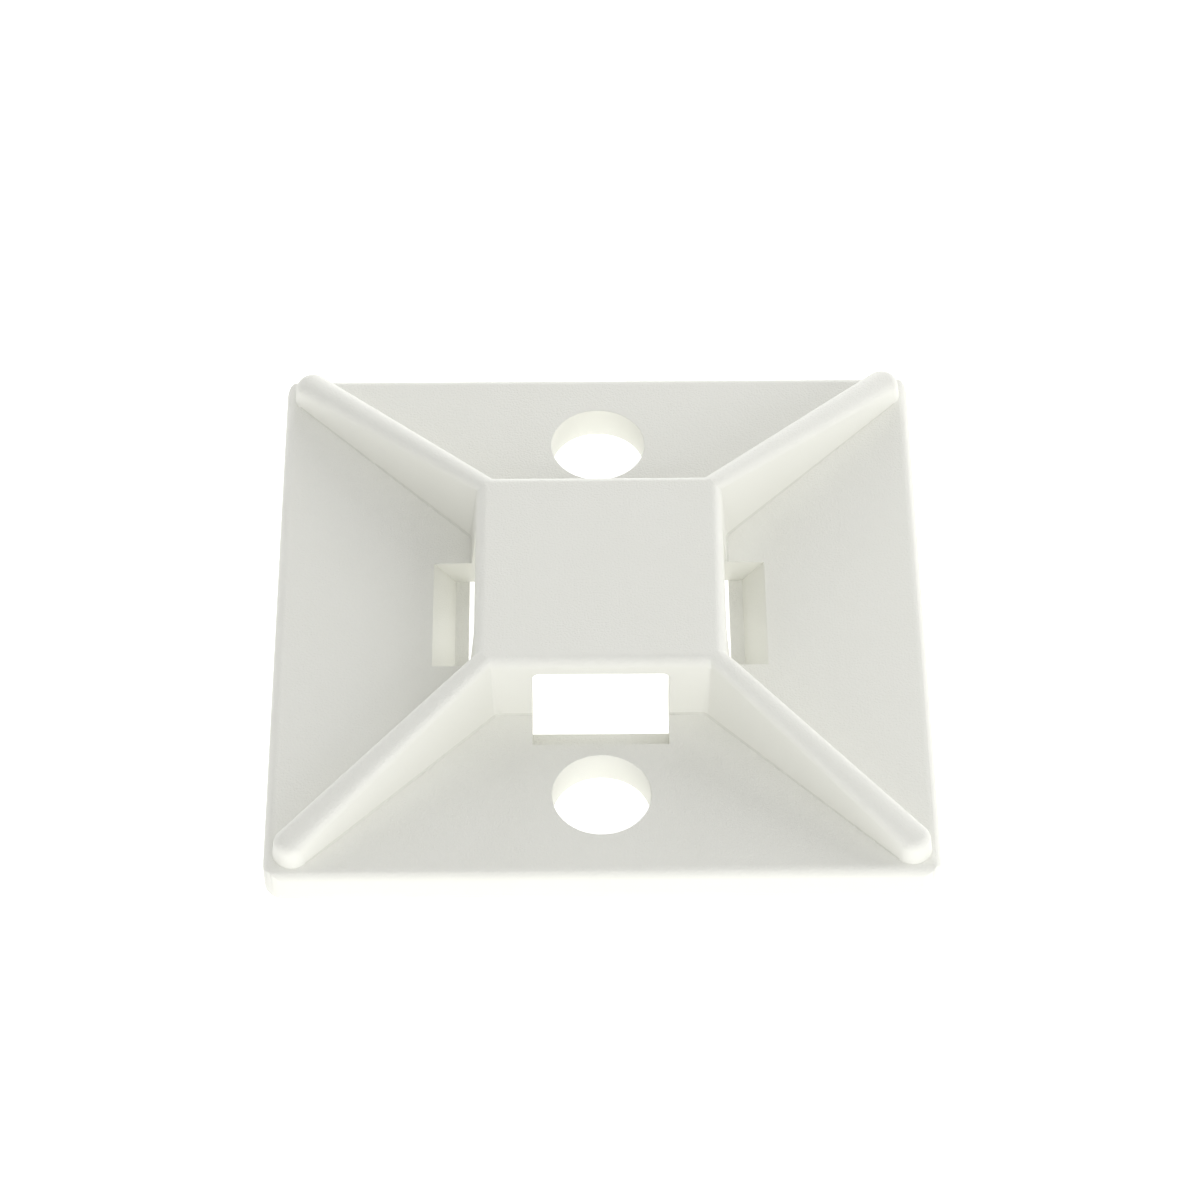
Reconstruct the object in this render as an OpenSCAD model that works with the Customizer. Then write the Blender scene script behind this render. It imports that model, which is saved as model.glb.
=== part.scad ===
// Four-way cable tie mount: a square screw-down base with a hollow tower in its
// middle. A tie goes down a ramp, through one window of the tower, under its roof
// and out of the window opposite, along X or along Y. One plastic moulding.
// The origin is the middle of the underside, and the screw holes lie along Y.

/* [Base] */
// Length of each side of the square base
base_w = 28.4; // [27:0.1:40]
// Thickness of the base
base_t = 1.6; // [1.2:0.05:2.4]
// Radius of the base's upright corners
base_corner_r = 0.9; // [0.3:0.05:1.5]
// Radius of the rounded edge round the top of the base
base_edge_r = 0.45; // [0.1:0.05:0.8]

/* [Tower] */
// Height of the tower's flat top above the mounting surface
height = 4.75; // [4.4:0.05:8]
// Width of the tower at its top
tower_w = 10.7; // [10:0.1:11.6]
// Width of the tower at the foot of its walls, which lean in so that it leaves its mould
tower_foot_w = 11.3; // [11:0.1:12.4]
// Thickness of the tower's walls at the top
wall_t = 1.4; // [0.8:0.05:1.8]
// Thickness of the roof over the windows
roof_t = 0.75; // [0.6:0.05:1.2]
// Radius of the rounded edge round the tower's top
tower_edge_r = 0.5; // [0.1:0.05:0.55]

/* [Tie passage] */
// Width of the widest cable tie that fits
tie_w = 4.8; // [3.6:0.1:5.2]
// Clearance at each edge of the tie
tie_clearance = 0.53; // [0.2:0.01:0.8]
// Radius of each window's two upper corners
window_corner_r = 0.3; // [0.1:0.05:0.4]
// Gap between the foot of a wall and the edge of the opening below it
foot_gap = 0.1; // [0.05:0.05:0.4]
// Depth of the square recess in the underside, which is also the ledge's height
recess_h = 0.35; // [0.25:0.05:0.8]
// Width of the ledge at the foot of each ramp
ledge_w = 0.6; // [0.2:0.05:0.8]
// Length of each ramp, seen from above
ramp_run = 0.95; // [0.6:0.05:1.4]

/* [Screw holes] */
// Diameter of each screw hole
hole_d = 4.2; // [3:0.1:4.6]
// Width of the base between each screw hole and the top of the ramp beside it
hole_web = 0.6; // [0.4:0.05:1]

/* [Ribs] */
// Width of each diagonal rib at its foot
rib_w = 1.65; // [1.4:0.05:2.2]
// Distance from the rounded end of each rib's foot to the base's sides
rib_margin = 0.4; // [0.3:0.05:2]
// Height of each rib's low end above the base
rib_end_h = 1.1; // [0.7:0.05:2]
// Radius of the rounded edge along each rib's crest
rib_edge_r = 0.35; // [0.1:0.01:0.4]
// Lean of each rib's sides, in degrees
rib_draft = 7; // [1:0.5:8]

/* [Hidden] */
$fn = 64;

// How far a cut runs past the face it goes through
past = 1;
// How far the tower and the ribs reach down into the base
root = 0.5;
window_w = tie_w + 2 * tie_clearance;
window_top = height - roof_t;
tower_h = height - base_t;
// How much the tower's walls lean in for each unit of height
wall_lean = (tower_foot_w - tower_w) / 2 / tower_h;
// The passage's outline, from the middle of the part outwards
opening_x = tower_foot_w / 2 + foot_gap;
ledge_x = opening_x + ledge_w;
ramp_x = ledge_x + ramp_run;
hole_y = ramp_x + hole_web + hole_d / 2;
// Centre of each rib's outer end, and the corner of the tower's flat top, where its
// crest starts
rib_x = base_w / 2 - rib_margin - rib_w / 2;
crest_x = tower_w / 2 - tower_edge_r;

// Turns an outline drawn as (x, height) into a bar of length len along Y
module along_y(len) {
    rotate([90, 0, 0])
        linear_extrude(len, center = true)
            children();
}

// The same bar along X
module along_x(len) {
    rotate([0, 0, 90])
        along_y(len)
            children();
}

// Square outline with round corners
module round_square(w, r) {
    square([w - 2 * r, w], center = true);
    square([w, w - 2 * r], center = true);
    for (x = [-1, 1], y = [-1, 1])
        translate([x * (w / 2 - r), y * (w / 2 - r)])
            circle(r);
}

// Section of a block that is w wide at its top, h high above height 0 and reaches
// down below it. Its upper corners are rounded, and its sides lean in by lean for
// each unit of height.
module block_section(w, h, r, lean = 0, down = 0) {
    angle = atan(lean);
    // Centre of the rounding, and the point where it meets the leaning side
    cx = w / 2 - r * (1 - sin(angle)) / cos(angle);
    tx = cx + r * cos(angle);
    tz = h - r + r * sin(angle);
    bx = w / 2 + (h + down) * lean;
    polygon([
        [-bx, -down], [bx, -down], [tx, tz], [cx, h - r],
        [cx, h], [-cx, h], [-cx, h - r], [-tx, tz]
    ]);
    for (x = [-cx, cx])
        translate([x, h - r])
            circle(r);
}

// Square base, rounded at its corners and round its top
module base() {
    intersection() {
        linear_extrude(base_t)
            round_square(base_w, base_corner_r);
        along_y(base_w + past)
            block_section(base_w, base_t, base_edge_r);
        along_x(base_w + past)
            block_section(base_w, base_t, base_edge_r);
    }
}

// Outside of the tower, still solid
module tower() {
    translate([0, 0, base_t])
        intersection() {
            along_y(base_w)
                block_section(tower_w, tower_h, tower_edge_r, wall_lean, root);
            along_x(base_w)
                block_section(tower_w, tower_h, tower_edge_r, wall_lean, root);
        }
}

// One end of a rib: a leaning round post of height h above the base, with a
// rounded top edge
module rib_end(h) {
    ring_z = h - rib_edge_r;
    ring_r = rib_w / 2 - ring_z * tan(rib_draft) - rib_edge_r / cos(rib_draft);
    translate([0, 0, base_t - root])
        cylinder(r = rib_w / 2 + root * tan(rib_draft), h = 0.01, $fn = 32);
    translate([0, 0, base_t + ring_z])
        rotate_extrude($fn = 32)
            intersection() {
                translate([ring_r, 0])
                    circle(rib_edge_r, $fn = 32);
                translate([0, -rib_edge_r])
                    square([rib_w, 2 * rib_edge_r]);
            }
}

// Rib from a corner of the tower's top down to a corner of the base
module rib() {
    hull() {
        translate([crest_x, crest_x])
            rib_end(tower_h);
        translate([rib_x, rib_x])
            rib_end(rib_end_h);
    }
}

// Space for a tie laid along X: a ramp down each side, the ledge, the opening in
// the underside, and the two windows
module passage() {
    top = window_top + past;
    top_x = ledge_x + (top - recess_h) * ramp_run / (base_t - recess_h);
    intersection() {
        along_y(window_w)
            polygon([
                [-opening_x, -past], [opening_x, -past],
                [opening_x, recess_h], [ledge_x, recess_h],
                [top_x, top], [-top_x, top],
                [-ledge_x, recess_h], [-opening_x, recess_h]
            ]);
        along_x(base_w)
            block_section(window_w, window_top, window_corner_r, 0, past);
    }
}

// Hollow inside the tower, and the shallow square recess round it in the underside
module hollow() {
    inner_w = tower_w - 2 * wall_t;
    translate([0, 0, (window_top - past) / 2])
        cube([inner_w, inner_w, window_top + past], center = true);
    translate([0, 0, (recess_h - past) / 2])
        cube([2 * opening_x, 2 * opening_x, recess_h + past], center = true);
}

module screw_hole() {
    translate([0, 0, -past])
        cylinder(d = hole_d, h = base_t + 2 * past);
}

module mount() {
    color([0.94, 0.93, 0.90])
        difference() {
            union() {
                base();
                tower();
                for (turn = [0:90:270])
                    rotate([0, 0, turn])
                        rib();
            }
            for (turn = [0, 90])
                rotate([0, 0, turn])
                    passage();
            hollow();
            for (y = [-hole_y, hole_y])
                translate([0, y, 0])
                    screw_hole();
        }
}

mount();
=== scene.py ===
# Four-way cable tie mount: one small plastic moulding, lying flat on a light table
# with its screw holes along Y. Lengths are in metres.
from math import copysign, cos, radians, sin

import bmesh
import bpy
from mathutils import Matrix, Vector


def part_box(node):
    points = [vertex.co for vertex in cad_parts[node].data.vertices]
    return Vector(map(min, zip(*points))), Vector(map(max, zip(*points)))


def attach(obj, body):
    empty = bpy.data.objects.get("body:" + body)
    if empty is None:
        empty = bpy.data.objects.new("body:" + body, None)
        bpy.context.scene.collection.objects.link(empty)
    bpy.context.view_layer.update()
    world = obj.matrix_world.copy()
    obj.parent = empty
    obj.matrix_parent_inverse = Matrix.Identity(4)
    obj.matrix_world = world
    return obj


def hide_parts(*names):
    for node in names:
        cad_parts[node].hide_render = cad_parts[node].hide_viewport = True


mm = 0.001

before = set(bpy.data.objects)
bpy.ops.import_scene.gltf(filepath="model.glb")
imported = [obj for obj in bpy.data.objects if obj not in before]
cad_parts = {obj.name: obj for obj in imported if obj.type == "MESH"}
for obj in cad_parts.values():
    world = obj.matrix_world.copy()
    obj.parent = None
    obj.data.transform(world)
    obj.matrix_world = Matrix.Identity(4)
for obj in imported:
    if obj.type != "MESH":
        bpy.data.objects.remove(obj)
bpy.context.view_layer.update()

# The moulding: base, tower, ribs, windows and ramps in one shot of off-white nylon.
# The ribs grow rounder towards their outer ends and run into the tower's walls with a
# soft fillet. A finer one follows their feet, and outer edges are very slightly rounded.
rim_r = 0.04 * mm
foot_fillet_r = 0.08 * mm
wall_fillet_r = 0.15 * mm
base_top = 1.6 * mm
# From the middle of the part to the inside of the tower's walls
inside_wall = 3.95 * mm
# Heights and places closer than this are the same
same = 0.01 * mm
# An edge that reaches this far above the surface it stands on runs up a wall
climb = 1.0 * mm
# Folds in degrees. Outer edges that fold by more than rim_fold are rounded, and inner
# ones get a fillet past wall_fold beside a rib and past foot_fold at a foot. Others are
# shaded smoothly below soft_fold, and the roundings' own facets below crisp_fold.
rim_fold = 60
wall_fold = 20
foot_fold = 40
soft_fold = 15
crisp_fold = 46
# Lengths that tell the feet of walls and ribs from the short edges of the ribs' ends
tower_reach = 7.0 * mm
short_edge = 0.3 * mm
# Each rib ends in a round post. Its centre is (rib_end, rib_end) from the middle, and
# its side and its top would meet in a brim at this radius and height if they were sharp.
base_half_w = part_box("mount")[1].x
rib_w = 1.65 * mm
rib_margin = 0.4 * mm
rib_end = base_half_w - rib_margin - rib_w / 2
rib_brim = Vector((0.69, 2.7)) * mm
# How many times larger the rounding of the post's brim becomes
rounder = 1.4


def round_off(body, edges, radius, steps):
    """Rounds these edges and returns the faces that this makes."""
    rounded = bmesh.ops.bevel(
        body,
        geom=edges,
        offset=radius,
        offset_type="OFFSET",
        segments=steps,
        profile=0.5,
        affect="EDGES",
        clamp_overlap=False,
        loop_slide=True,
        material=-1,
    )
    return rounded["faces"]


def folds_in(edge, least):
    """True in an inner corner that folds by more than this, in degrees."""
    return not edge.is_convex and edge.calc_face_angle(0.0) > radians(least)


def is_inside_window(edge):
    """True on the windows' inner edges, inside the tower, which run into its ceiling."""
    a, b = (v.co for v in edge.verts)
    for axis in (0, 1):
        on_wall = all(abs(abs(p[axis]) - inside_wall) < same for p in (a, b))
        if on_wall and max(a.z, b.z) > climb:
            return True
    return False


def is_rim(edge):
    """True on the sharp outer edges, which are rounded."""
    is_sharp = edge.is_convex and edge.calc_face_angle(0.0) > radians(rim_fold)
    return is_sharp and not is_inside_window(edge)


def is_beside_rib(edge):
    """True where a rib's side meets a wall of the tower, from the base upwards."""
    low, high = sorted((v.co for v in edge.verts), key=lambda p: p.z)
    is_upright = low.z < base_top + same and high.z > base_top + climb
    is_by_rib = min(abs(low.x), abs(low.y)) > inside_wall
    return is_upright and is_by_rib and folds_in(edge, wall_fold)


def is_foot(edge):
    """True along the feet of walls and ribs, apart from the ribs' round outer ends."""
    a, b = (v.co for v in edge.verts)
    is_on_base = max(abs(a.z - base_top), abs(b.z - base_top)) < same
    is_by_tower = max(abs(a.x), abs(a.y)) < tower_reach
    is_long = edge.calc_length() > short_edge
    return is_on_base and (is_by_tower or is_long) and folds_in(edge, foot_fold)


moulding = bmesh.new()
moulding.from_mesh(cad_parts["mount"].data)
bmesh.ops.remove_doubles(moulding, verts=moulding.verts, dist=0.0001 * mm)
bmesh.ops.dissolve_limit(
    moulding, angle_limit=radians(0.1), verts=moulding.verts, edges=moulding.edges
)

# Makes the ribs' ends rounder: each point of a post's rounding moves away from the
# brim, in the section that runs from the post's centre through that point.
for vert in moulding.verts:
    centre = Vector((copysign(rib_end, vert.co.x), copysign(rib_end, vert.co.y)))
    outwards = vert.co.xy - centre
    if outwards.length < rib_w / 2 and vert.co.z > base_top + rib_w / 4:
        point = Vector((outwards.length, vert.co.z))
        radius, height = rib_brim + (point - rib_brim) * rounder
        moved = centre + outwards.normalized() * radius
        vert.co = (moved.x, moved.y, height)

# The fillets and the rounded rims, and which edges stay crisp
beside_ribs = [edge for edge in moulding.edges if is_beside_rib(edge)]
round_off(moulding, beside_ribs, wall_fillet_r, 4)
rims = []
for edge in moulding.edges:
    if is_rim(edge):
        rims.append(edge)
    else:
        edge.smooth = edge.calc_face_angle(0.0) < radians(soft_fold)
for face in moulding.faces:
    face.smooth = True
painted_shade_corner = moulding.faces.layers.float.new("painted_shade_corner")
round_off(moulding, rims, rim_r, 3)
feet = [edge for edge in moulding.edges if is_foot(edge)]
# The foot fillets are marked, so that the finish paints shade on them
for face in round_off(moulding, feet, foot_fillet_r, 2):
    face[painted_shade_corner] = 1.0
    face.smooth = True
for edge in moulding.edges:
    if edge.calc_face_angle(0.0) > radians(crisp_fold):
        edge.smooth = False

mesh = bpy.data.meshes.new("moulded_mount")
moulding.to_mesh(mesh)
moulding.free()
mount = bpy.data.objects.new("moulded_mount", mesh)
bpy.context.scene.collection.objects.link(mount)
even = mount.modifiers.new("even_shading", "WEIGHTED_NORMAL")
even.keep_sharp = True

# Its finish: natural nylon, slightly warm, with the fine even grain that spark
# erosion leaves in the mould. Level faces take the grain best, and upright faces,
# drawn along the mould as they leave it, come out smoother.
nylon_ior = 1.5
grains_per_mm = 12.0
grain_depth = 0.022 * mm
clouds_per_mm = 0.35
darker_nylon = (0.782, 0.782, 0.717)
lighter_nylon = (0.798, 0.798, 0.741)
# Painted light: level faces are painted a little less yellow than upright ones
level_face_painted_tint = (1.0, 1.0, 1.014)
# Painted shade: the fine fillets along the feet of walls and ribs are darkened
fillet_painted_shade = (0.88, 0.88, 0.86)
# Roughness, from the grain's hollows to its tops
smoothest = 0.54
roughest = 0.66
# How much of the grain upright faces take, and the slopes (Z of a face's normal)
# between which a face passes from upright to level
upright_grain = 0.2
upright_slope = 0.3
level_slope = 0.9

nylon = bpy.data.materials.new("spark_grained_nylon")
nylon.use_nodes = True
tree = nylon.node_tree
shader = tree.nodes["Principled BSDF"]
shader.inputs["IOR"].default_value = nylon_ior
on_piece = tree.nodes.new("ShaderNodeTexCoord")
in_mm = tree.nodes.new("ShaderNodeVectorMath")
in_mm.operation = "SCALE"
in_mm.inputs["Scale"].default_value = 1.0 / mm
tree.links.new(on_piece.outputs["Object"], in_mm.inputs[0])

# The grain
grain = tree.nodes.new("ShaderNodeTexNoise")
grain.inputs["Scale"].default_value = grains_per_mm
grain.inputs["Detail"].default_value = 1.0
tree.links.new(in_mm.outputs["Vector"], grain.inputs["Vector"])
facing = tree.nodes.new("ShaderNodeSeparateXYZ")
tree.links.new(on_piece.outputs["Normal"], facing.inputs["Vector"])
level_faces = tree.nodes.new("ShaderNodeMapRange")
level_faces.inputs["From Min"].default_value = upright_slope
level_faces.inputs["From Max"].default_value = level_slope
level_faces.inputs["To Min"].default_value = upright_grain
level_faces.inputs["To Max"].default_value = 1.0
tree.links.new(facing.outputs["Z"], level_faces.inputs["Value"])
relief = tree.nodes.new("ShaderNodeBump")
relief.inputs["Distance"].default_value = grain_depth
tree.links.new(level_faces.outputs["Result"], relief.inputs["Strength"])
tree.links.new(grain.outputs["Fac"], relief.inputs["Height"])
tree.links.new(relief.outputs["Normal"], shader.inputs["Normal"])
gloss = tree.nodes.new("ShaderNodeMapRange")
gloss.inputs["To Min"].default_value = smoothest
gloss.inputs["To Max"].default_value = roughest
tree.links.new(grain.outputs["Fac"], gloss.inputs["Value"])
tree.links.new(gloss.outputs["Result"], shader.inputs["Roughness"])

# The colour: faint clouds of two tones, then painted light: level faces painted a little
# less yellow than upright ones, and painted shade darkening the fine fillets
cloud = tree.nodes.new("ShaderNodeTexNoise")
cloud.inputs["Scale"].default_value = clouds_per_mm
cloud.inputs["Detail"].default_value = 3.0
tree.links.new(in_mm.outputs["Vector"], cloud.inputs["Vector"])
tint = tree.nodes.new("ShaderNodeMix")
tint.data_type = "RGBA"
tint.inputs["A"].default_value = (*darker_nylon, 1.0)
tint.inputs["B"].default_value = (*lighter_nylon, 1.0)
tree.links.new(cloud.outputs["Fac"], tint.inputs["Factor"])


def tone_down(colour, amount, tone):
    """Multiplies a colour by a tone, as far as the amount says, and returns the result."""
    toned = tree.nodes.new("ShaderNodeMix")
    toned.data_type = "RGBA"
    toned.blend_type = "MULTIPLY"
    toned.inputs["B"].default_value = (*tone, 1.0)
    tree.links.new(amount, toned.inputs["Factor"])
    tree.links.new(colour, toned.inputs["A"])
    return toned.outputs["Result"]


# Painted shade in the foot fillets
fillets = tree.nodes.new("ShaderNodeAttribute")
fillets.attribute_name = "painted_shade_corner"
# Painted light: the tint by facing, strongest on level faces
nylon_with_painted_tint = tone_down(tint.outputs["Result"], level_faces.outputs["Result"], level_face_painted_tint)
nylon_with_painted_light = tone_down(nylon_with_painted_tint, fillets.outputs["Fac"], fillet_painted_shade)
tree.links.new(nylon_with_painted_light, shader.inputs["Base Color"])
mesh.materials.clear()
mesh.materials.append(nylon)

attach(mount, "root")
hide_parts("mount")

# The light table: a white sheet lit from below, so that nothing casts a shadow on it.
# It lies a hair below the moulding, so that the two never share a plane.
table_w = 1.2
table_drop = 0.02 * mm
table_glow = 0.72
bpy.ops.mesh.primitive_plane_add(size=table_w, location=(0.0, 0.0, -table_drop))
table = bpy.context.object
table.name = "light_table"
sheet = bpy.data.materials.new("lit_sheet")
sheet.use_nodes = True
glow = sheet.node_tree.nodes["Principled BSDF"]
glow.inputs["Base Color"].default_value = (0.8, 0.8, 0.8, 1.0)
glow.inputs["Roughness"].default_value = 1.0
glow.inputs["Specular IOR Level"].default_value = 0.0
glow.inputs["Emission Color"].default_value = (1.0, 1.0, 1.0, 1.0)
glow.inputs["Emission Strength"].default_value = table_glow
table.data.materials.append(sheet)

# The studio: white air all round and soft square panels in three rings. Low strips
# light the walls, the middle ring the ribs and ramps, and two hang overhead.
air_glow = 0.3
panel_distance = 0.4
# Each ring's rise above the table, in degrees, and its panels' width
low_ring = (8, 0.11)
middle_ring = (28, 0.20)
top_ring = (55, 0.22)

studio = bpy.data.worlds.new("studio")
studio.use_nodes = True
air = studio.node_tree.nodes["Background"]
air.inputs["Color"].default_value = (1.0, 1.0, 1.0, 1.0)
air.inputs["Strength"].default_value = air_glow
bpy.context.scene.world = studio


def hang_panel(name, ring, turn, watts):
    """A square panel that faces the part. turn is 0 in front and 90 degrees on the right."""
    rise, width = ring
    away = Vector((
        sin(radians(turn)) * cos(radians(rise)),
        -cos(radians(turn)) * cos(radians(rise)),
        sin(radians(rise)),
    ))
    lamp = bpy.data.lights.new(name, "AREA")
    lamp.shape = "SQUARE"
    lamp.size = width
    lamp.energy = watts
    panel = bpy.data.objects.new(name, lamp)
    panel.location = away * panel_distance
    panel.visible_camera = False
    panel.rotation_euler = (-away).to_track_quat("-Z", "Y").to_euler()
    bpy.context.scene.collection.objects.link(panel)


hang_panel("front_strip", low_ring, 0, 0.15)
hang_panel("right_strip", low_ring, 90, 0.15)
hang_panel("rear_right_strip", low_ring, 135, 0.23)
hang_panel("rear_strip", low_ring, 180, 0.46)
hang_panel("rear_left_strip", low_ring, 225, 0.14)
hang_panel("front_panel", middle_ring, 0, 0.09)
hang_panel("front_right_panel", middle_ring, 45, 0.36)
hang_panel("rear_right_panel", middle_ring, 135, 0.32)
hang_panel("rear_panel", middle_ring, 180, 0.18)
hang_panel("rear_left_panel", middle_ring, 225, 0.11)
hang_panel("front_left_panel", middle_ring, 315, 0.20)
hang_panel("front_overhead", top_ring, 0, 0.31)
hang_panel("right_overhead", top_ring, 90, 0.07)

# The camera: a long lens, looking down over the front edge.
aim = Vector((0.0302, 2.1271, 0.0)) * mm
distance = 188.780 * mm
turn = radians(-0.4649)
rise = radians(49.6873)
lean = radians(-0.0208)
lens = bpy.data.cameras.new("camera")
lens.sensor_width = 36.0
lens.lens = 127.560
lens.clip_start = 0.01
lens.clip_end = 10.0
camera = bpy.data.objects.new("camera", lens)
bpy.context.scene.collection.objects.link(camera)
back = Vector((sin(turn) * cos(rise), -cos(turn) * cos(rise), sin(rise)))
level = (-back).cross(Vector((0.0, 0.0, 1.0))).normalized()
upright = level.cross(-back).normalized()
across = level * cos(lean) + upright * sin(lean)
upward = upright * cos(lean) - level * sin(lean)
pose = Matrix((across, upward, back)).transposed().to_4x4()
camera.matrix_world = Matrix.Translation(aim + back * distance) @ pose
bpy.context.scene.camera = camera
bpy.context.scene.view_settings.view_transform = "Standard"
